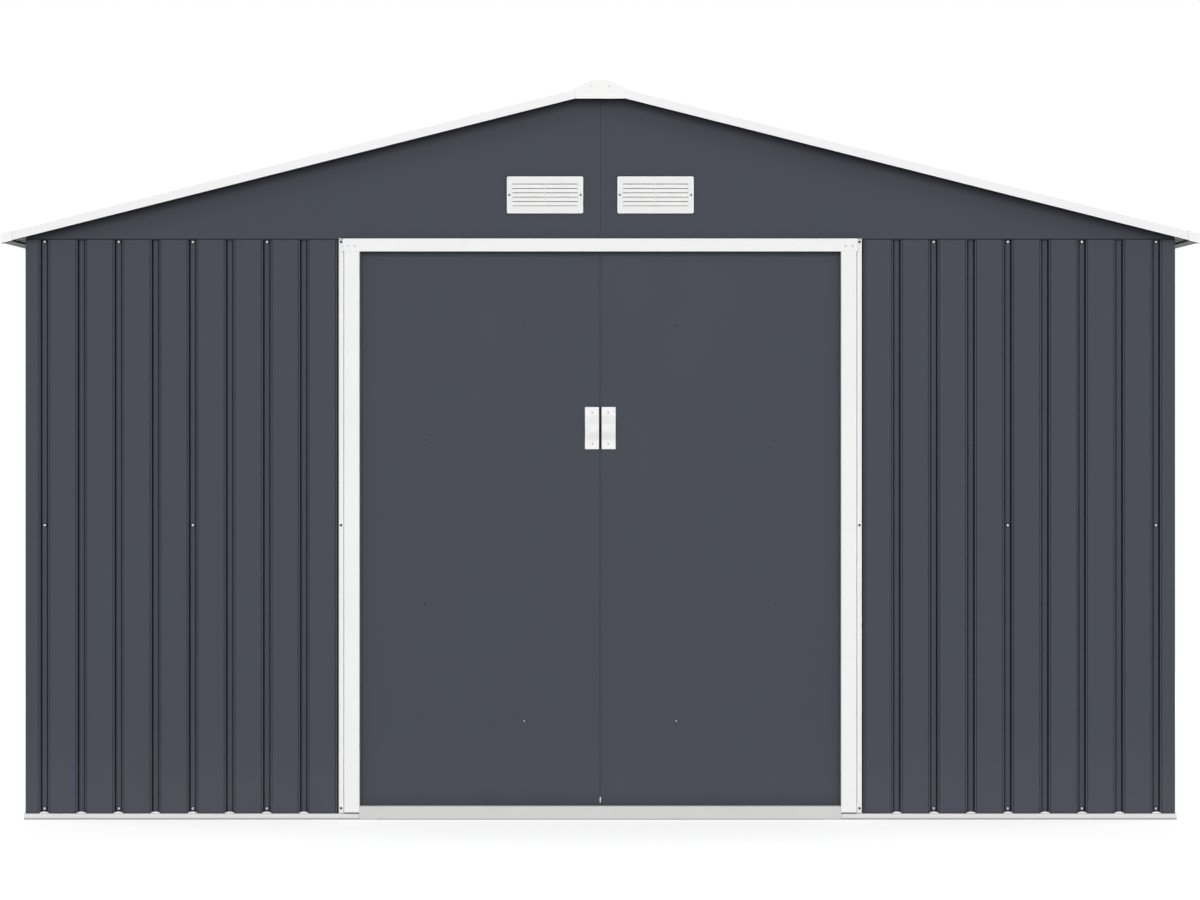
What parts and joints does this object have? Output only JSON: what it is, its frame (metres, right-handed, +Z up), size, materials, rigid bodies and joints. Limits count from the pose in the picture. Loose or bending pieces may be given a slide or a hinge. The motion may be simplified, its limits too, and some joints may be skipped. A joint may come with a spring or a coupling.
{
  "type": "metal storage shed",
  "caption": "Metal storage shed with ribbed sheet walls, low pitched roof, louvred gable vents and a pair of sliding doors on a top track.",
  "frame": {"origin": "on the ground at the middle of the plan", "axes": "+Z up, +Y from the doors to the back wall along the ridge, +X to the right seen from the front"},
  "size_m": [3.3728, 3.817, 2.0875],
  "materials": {
    "dark_sheet": "satin dark grey paint on galvanised sheet",
    "white_trim": "satin white paint on folded sheet",
    "pale_rail": "satin pale grey coat on folded rail",
    "sill_metal": "satin pale grey coat, slightly worn",
    "galvanised": "dull zinc coat with faint spangle",
    "track_aluminium": "mill finish extrusion",
    "white_plastic": "fine satin moulded plastic",
    "nylon": "plain moulded nylon"
  },
  "bodies": {
    "shed": {"base_rails_front": "pale_rail", "base_rail_back": "pale_rail", "base_rail_left": "pale_rail", "base_rail_right": "pale_rail", "door_sill": "sill_metal", "door_guide_rail": "galvanised", "corner_panels": "dark_sheet", "front_wall_left": "dark_sheet", "front_wall_right": "dark_sheet", "back_wall": "dark_sheet", "left_wall": "dark_sheet", "right_wall": "dark_sheet", "wall_girts": "galvanised", "top_rails": "galvanised", "door_jambs": "white_trim", "door_header": "white_trim", "door_track": "track_aluminium", "front_gable": "dark_sheet", "back_gable": "dark_sheet", "front_vents": "white_plastic", "back_vents": "white_plastic", "ridge_beam": "galvanised", "purlins": "galvanised", "front_truss": "galvanised", "back_truss": "galvanised", "roof_sheets_left": "dark_sheet", "roof_sheets_right": "dark_sheet", "ridge_cap": "white_trim", "ridge_end_caps": "white_plastic", "front_rake_trims": "white_trim", "back_rake_trims": "white_trim", "eave_trims": "white_trim", "eave_corner_caps": "white_plastic"},
    "left_door": {"left_door_panel": "dark_sheet", "left_door_braces": "galvanised", "left_door_handle": "white_plastic", "left_door_hangers": "galvanised", "left_door_rollers": "nylon", "left_door_guides": "nylon"},
    "right_door": {"right_door_panel": "dark_sheet", "right_door_braces": "galvanised", "right_door_handle": "white_plastic", "right_door_hangers": "galvanised", "right_door_rollers": "nylon", "right_door_guides": "nylon"}
  },
  "joints": [
    {"name": "left_door_slide", "type": "slide", "parent": "shed", "child": "left_door", "axis": [-1, 0, 0], "range_m": [0, 0.63]},
    {"name": "right_door_slide", "type": "slide", "parent": "shed", "child": "right_door", "axis": [1, 0, 0], "range_m": [0, 0.63]}
  ]
}
